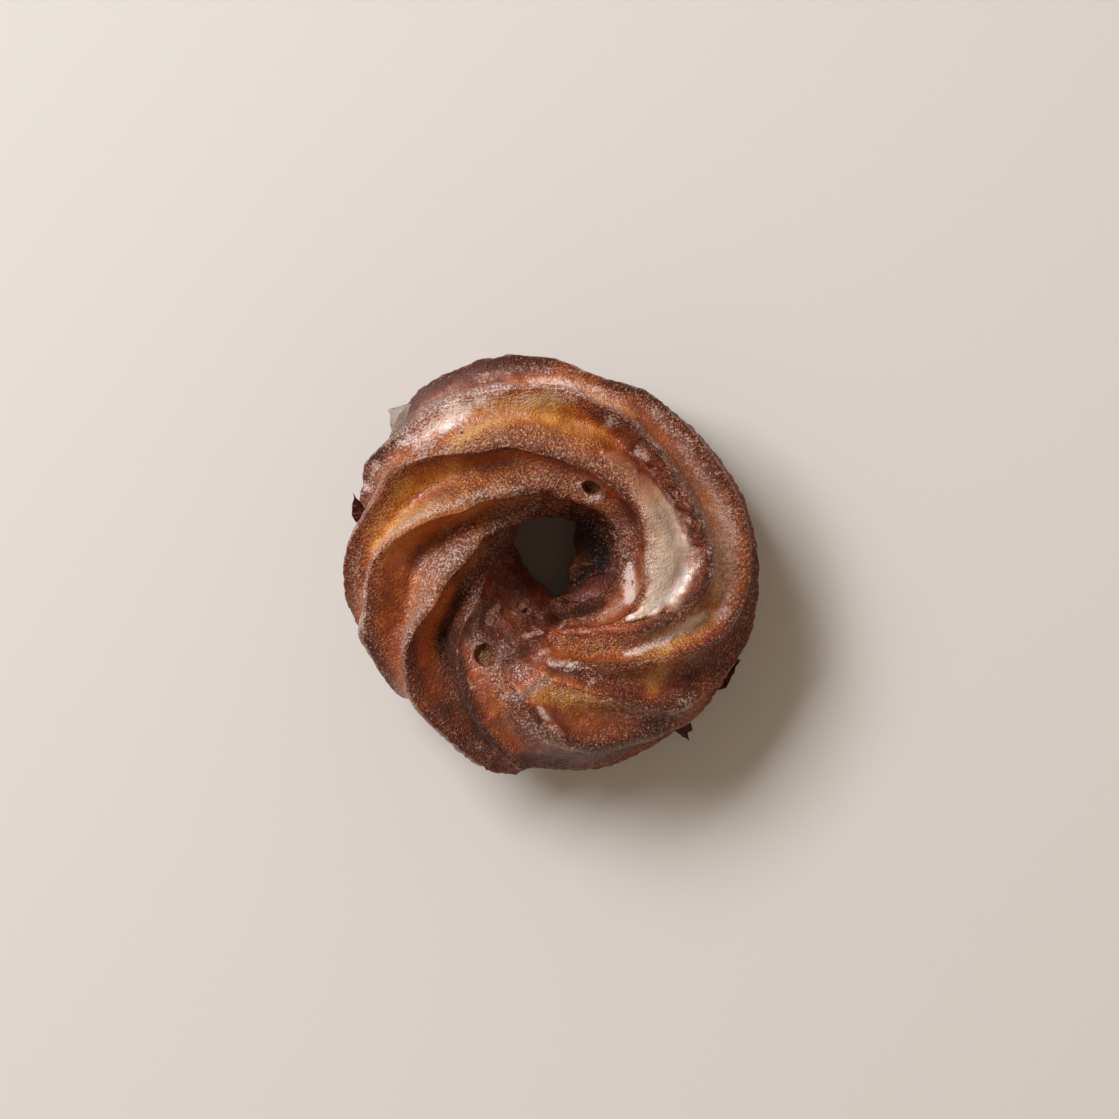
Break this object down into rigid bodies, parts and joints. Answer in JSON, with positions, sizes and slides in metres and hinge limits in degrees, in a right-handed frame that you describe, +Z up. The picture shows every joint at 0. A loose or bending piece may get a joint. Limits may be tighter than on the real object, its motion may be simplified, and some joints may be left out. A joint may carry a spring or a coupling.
{
  "type": "cruller doughnut",
  "caption": "Round fried cruller: a ring of piped, twisted choux dough with deep winding ridges, an open hole and a flat underside.",
  "frame": {"origin": "centre of the bounding box in plan, on the flat underside that the ring rests on", "axes": "+Z up along the hole, out of the top of the ring; +X and +Y in the plane that it lies on"},
  "size_m": [0.089, 0.0898, 0.0342],
  "materials": {
    "fried_dough": "browned fried crust under a thin glaze, satin to glossy",
    "sugar_glaze": "thin milky sugar glaze, glossy"
  },
  "bodies": {
    "root": {"dough_ring": "fried_dough"}
  },
  "joints": []
}
